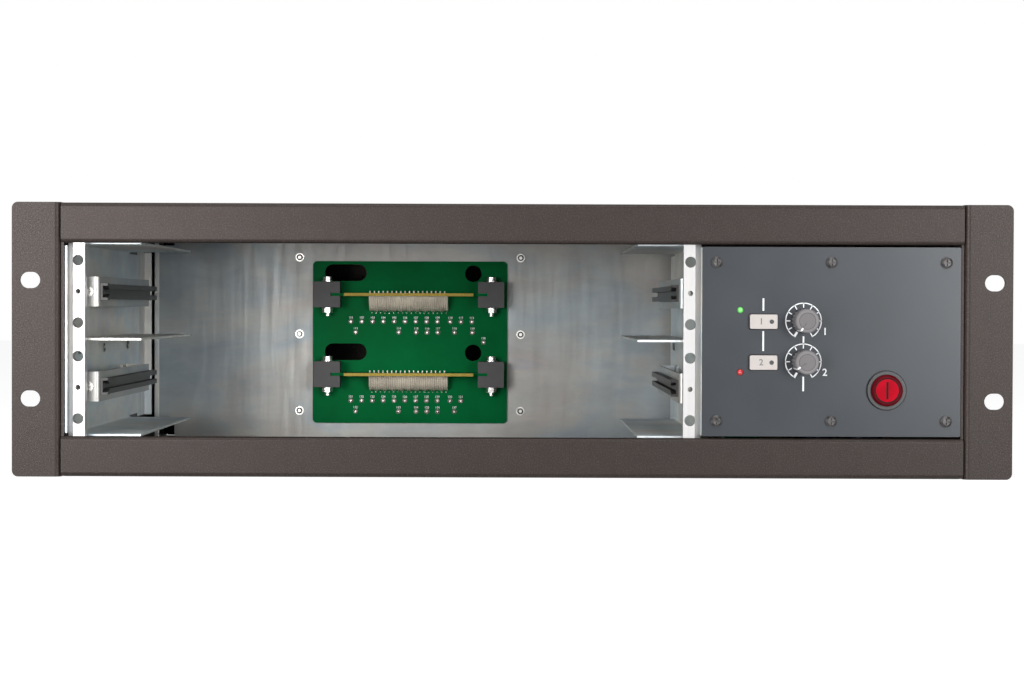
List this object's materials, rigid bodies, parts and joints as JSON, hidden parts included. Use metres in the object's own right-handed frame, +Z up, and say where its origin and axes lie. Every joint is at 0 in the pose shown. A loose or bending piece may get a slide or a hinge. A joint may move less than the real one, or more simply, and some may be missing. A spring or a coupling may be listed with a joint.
{
  "type": "subrack card cage",
  "caption": "Rack-mounting card cage with open module bays, slotted ears, edge connectors on a backplane, and a power supply panel with switches and level knobs.",
  "frame": {"origin": "centre of the four rack slots, on the rear faces of the ears", "axes": "+X right as seen from the front, +Y from the front to the back, +Z up"},
  "size_m": [0.4826, 0.3366, 0.1324],
  "materials": {
    "body_paint": "dark brown-grey textured powder coat",
    "zinc_sheet": "passivated zinc plating with a faint blue and yellow cast",
    "bar_aluminium": "bright drawn aluminium",
    "rail_aluminium": "plain drawn aluminium",
    "zinc_fastener": "zinc plated",
    "black_fastener": "black oxide",
    "guide_plastic": "black moulded",
    "board_green": "green solder mask",
    "solder": "tinned",
    "strip_laminate": "bare edge of glass laminate",
    "block_plastic": "grey moulded",
    "tinned_wire": "tinned copper",
    "panel_paint": "blue-grey satin paint",
    "green_lens": "green diffused",
    "red_lens": "red diffused",
    "button_ivory": "ivory moulded",
    "switch_plastic": "black moulded",
    "knob_grey": "warm grey moulded",
    "cap_grey": "light grey moulded",
    "shaft_brass": "turned",
    "pot_case": "plated",
    "mains_red": "red moulded",
    "mains_black": "black moulded",
    "winding_tape": "yellow polyester tape",
    "capacitor_sleeve": "dark blue sleeve",
    "connector_black": "black moulded",
    "socket_metal": "black plated die casting"
  },
  "bodies": {
    "case": {"chassis": "body_paint", "top_cover": "body_paint", "rear_panel": "body_paint", "left_rack_ear": "body_paint", "right_rack_ear": "body_paint", "ear_screws": "black_fastener", "case_screws": "black_fastener", "left_mounting_bar": "bar_aluminium", "right_mounting_bar": "bar_aluminium", "left_cage_side": "zinc_sheet", "right_cage_side": "zinc_sheet", "left_middle_shelf": "zinc_sheet", "right_middle_shelf": "zinc_sheet", "cage_rivets": "zinc_fastener", "cage_screws": "zinc_fastener", "upper_left_guide_bracket": "zinc_sheet", "lower_left_guide_bracket": "zinc_sheet", "upper_right_guide_bracket": "zinc_sheet", "lower_right_guide_bracket": "zinc_sheet", "upper_left_card_guide": "guide_plastic", "lower_left_card_guide": "guide_plastic", "upper_right_card_guide": "guide_plastic", "lower_right_card_guide": "guide_plastic", "cage_back_panel": "zinc_sheet", "backplane_board": "board_green", "solder_joints": "solder", "upper_edge_strip": "strip_laminate", "lower_edge_strip": "strip_laminate", "upper_left_end_block": "block_plastic", "lower_left_end_block": "block_plastic", "upper_right_end_block": "block_plastic", "lower_right_end_block": "block_plastic", "upper_link_wires": "tinned_wire", "lower_link_wires": "tinned_wire", "block_bolts": "zinc_fastener", "supply_front_panel": "panel_paint", "panel_screws": "black_fastener", "panel_rails": "rail_aluminium", "green_lamp": "green_lens", "red_lamp": "red_lens", "push_switches": "switch_plastic", "output_pot_1": "pot_case", "output_pot_2": "pot_case", "mains_switch": "mains_black", "control_board": "board_green", "transformer": "winding_tape", "transformer_clamp": "zinc_fastener", "power_board": "board_green", "smoothing_capacitors": "capacitor_sleeve", "mains_inlet": "connector_black", "audio_sockets": "socket_metal"},
    "phantom_button_1": {"phantom_button_1": "button_ivory"},
    "phantom_button_2": {"phantom_button_2": "button_ivory"},
    "mains_button": {"mains_button": "mains_red"},
    "output_knob_1": {"output_knob_1": "knob_grey", "knob_cap_1": "cap_grey", "pot_shaft_1": "shaft_brass"},
    "output_knob_2": {"output_knob_2": "knob_grey", "knob_cap_2": "cap_grey", "pot_shaft_2": "shaft_brass"}
  },
  "joints": [
    {"name": "phantom_button_1_press", "type": "slide", "parent": "case", "child": "phantom_button_1", "axis": [0, 1, 0], "range_m": [0, 0.002], "stiffness_N_per_m": 400},
    {"name": "phantom_button_2_press", "type": "slide", "parent": "case", "child": "phantom_button_2", "axis": [0, 1, 0], "range_m": [0, 0.002], "stiffness_N_per_m": 400},
    {"name": "mains_button_press", "type": "slide", "parent": "case", "child": "mains_button", "axis": [0, 1, 0], "range_m": [0, 0.0025], "stiffness_N_per_m": 600},
    {"name": "output_knob_1_turn", "type": "hinge", "parent": "case", "child": "output_knob_1", "pos_m": [0.1404, -0.001, 0.0101], "axis": [0, 1, 0], "range_deg": [0, 297]},
    {"name": "output_knob_2_turn", "type": "hinge", "parent": "case", "child": "output_knob_2", "pos_m": [0.1404, -0.001, -0.0096], "axis": [0, 1, 0], "range_deg": [-25, 272]}
  ]
}
